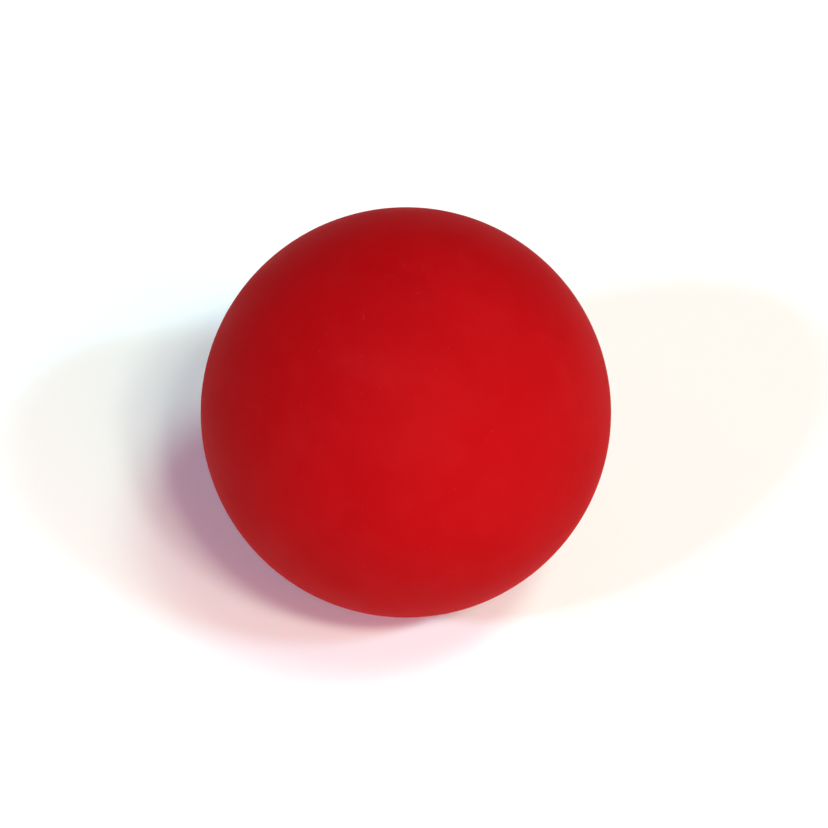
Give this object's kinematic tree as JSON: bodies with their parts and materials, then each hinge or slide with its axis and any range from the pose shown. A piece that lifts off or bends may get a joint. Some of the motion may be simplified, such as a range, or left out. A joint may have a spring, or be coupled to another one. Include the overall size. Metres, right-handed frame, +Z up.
{
  "type": "lacrosse ball",
  "caption": "Solid rubber lacrosse ball: a plain matte sphere with a fine trimmed parting line round it, made to be thrown, caught and bounced.",
  "frame": {"origin": "the ball's centre", "axes": "+Z up as the ball rests, -Y towards the front, +X to the right. The pole of the mould's axis leans 42 degrees from +Z towards -Y, so the parting line climbs from the front's foot to the back's shoulder and is its own mirror image in X."},
  "size_m": [0.0636, 0.0634, 0.0634],
  "materials": {
    "red_rubber": "matte"
  },
  "bodies": {
    "root": {"ball": "red_rubber"}
  },
  "joints": []
}
